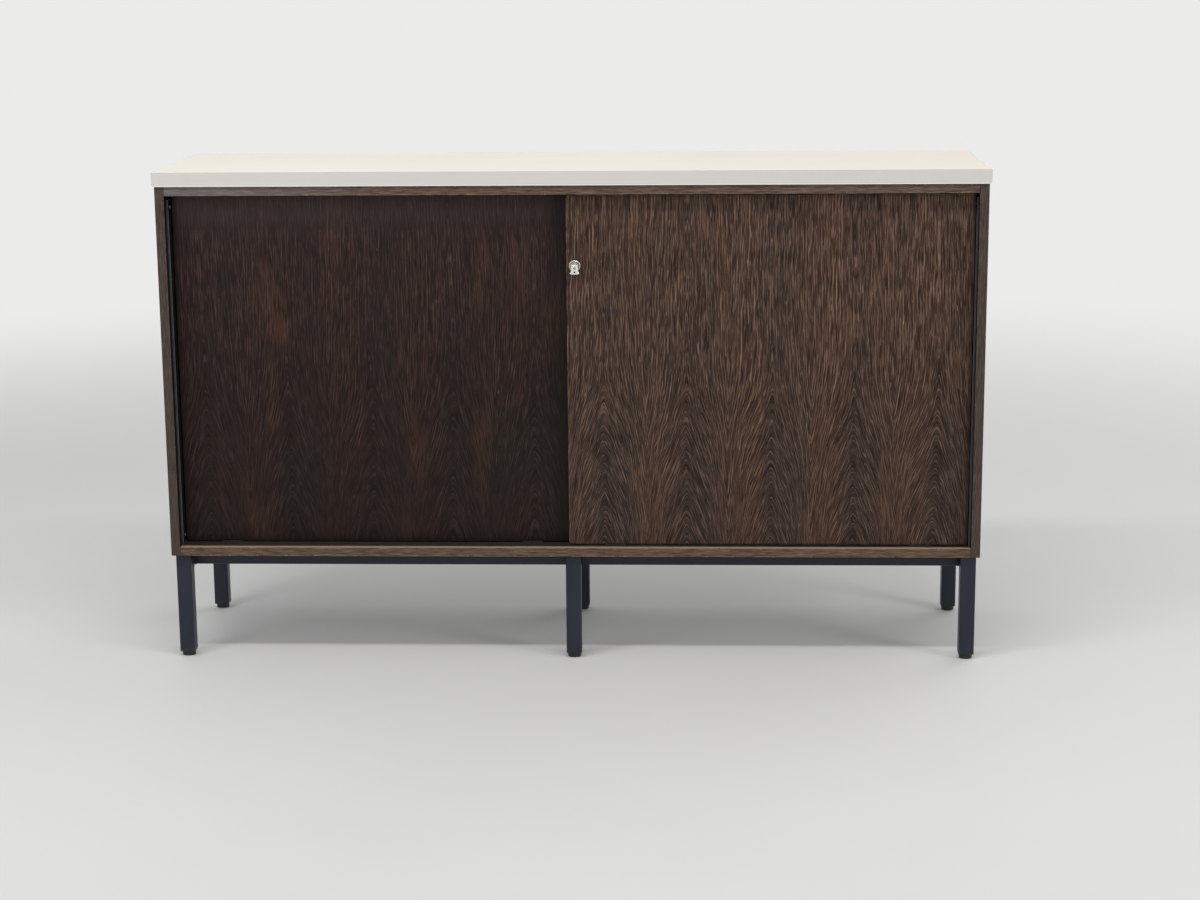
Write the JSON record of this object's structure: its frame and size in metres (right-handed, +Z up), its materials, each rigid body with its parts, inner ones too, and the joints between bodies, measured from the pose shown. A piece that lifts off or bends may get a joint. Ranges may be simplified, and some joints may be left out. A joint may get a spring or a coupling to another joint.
{
  "type": "sideboard",
  "caption": "Long low office sideboard with a pale slab top, dark veneered sliding doors, a lock with a folding key and a square-tube steel leg frame.",
  "frame": {"origin": "on the floor under the middle of the top slab", "axes": "+Z up, +X to the right along the length as seen from the front, front towards -Y"},
  "size_m": [1.6, 0.4, 0.968],
  "materials": {
    "wenge_veneer": "dark straight-grained veneer with a satin lacquer",
    "white_laminate": "warm white laminate, satin",
    "back_board": "thin dark board, matt",
    "frame_paint": "dark blue-grey paint, satin",
    "foot_plastic": "black moulded plastic",
    "track_plastic": "dark brown extruded plastic",
    "runner_plastic": "pale moulded plastic",
    "lock_nickel": "nickel plate",
    "screw_steel": "zinc-plated steel",
    "dowel_beech": "bare beech"
  },
  "bodies": {
    "carcass": {"back_panel": "back_board", "back_panel_screws": "screw_steel", "bottom_track": "track_plastic", "carcass_bottom_panel": "wenge_veneer", "carcass_top_panel": "wenge_veneer", "centre_partition": "wenge_veneer", "corner_dowels": "dowel_beech", "frame_screws": "screw_steel", "front_left_foot": "foot_plastic", "front_left_leg": "frame_paint", "front_left_rail": "frame_paint", "front_middle_foot": "foot_plastic", "front_middle_leg": "frame_paint", "front_right_foot": "foot_plastic", "front_right_leg": "frame_paint", "front_right_rail": "frame_paint", "left_cross_rail": "frame_paint", "left_shelf": "wenge_veneer", "left_side_panel": "wenge_veneer", "left_stop_strip": "frame_paint", "middle_cross_rail": "frame_paint", "partition_dowels": "dowel_beech", "rear_left_foot": "foot_plastic", "rear_left_leg": "frame_paint", "rear_left_rail": "frame_paint", "rear_middle_foot": "foot_plastic", "rear_middle_leg": "frame_paint", "rear_right_foot": "foot_plastic", "rear_right_leg": "frame_paint", "rear_right_rail": "frame_paint", "right_cross_rail": "frame_paint", "right_shelf": "wenge_veneer", "right_side_panel": "wenge_veneer", "right_stop_strip": "frame_paint", "shelf_pins": "screw_steel", "stop_strip_screws": "screw_steel", "top_slab": "white_laminate", "top_slab_screws": "screw_steel", "top_track": "track_plastic"},
    "left_door": {"left_door": "wenge_veneer", "left_door_glides": "runner_plastic", "left_door_guides": "runner_plastic", "strike_peg": "screw_steel"},
    "right_door": {"right_door": "wenge_veneer", "right_door_glides": "runner_plastic", "right_door_guides": "runner_plastic", "lock_housing": "lock_nickel", "lock_ring_nut": "lock_nickel"},
    "lock_plug": {"lock_plug": "lock_nickel", "lock_cam": "lock_nickel", "cam_screw": "screw_steel", "key_shank": "lock_nickel", "key_hinge_pin": "lock_nickel"},
    "key_bow": {"key_bow": "lock_nickel"}
  },
  "joints": [
    {"name": "left_door_slide", "type": "slide", "parent": "carcass", "child": "left_door", "axis": [1, 0, 0], "range_m": [0, 0.7655]},
    {"name": "right_door_slide", "type": "slide", "parent": "carcass", "child": "right_door", "axis": [1, 0, 0], "range_m": [-0.7655, 0]},
    {"name": "key_turn", "type": "hinge", "parent": "right_door", "child": "lock_plug", "pos_m": [0.0085, -0.176, 0.783], "axis": [0, -1, 0], "range_deg": [0, 90]},
    {"name": "key_fold", "type": "hinge", "parent": "lock_plug", "child": "key_bow", "pos_m": [0.0085, -0.1844, 0.783], "axis": [-1, 0, 0], "range_deg": [0, 90]}
  ]
}
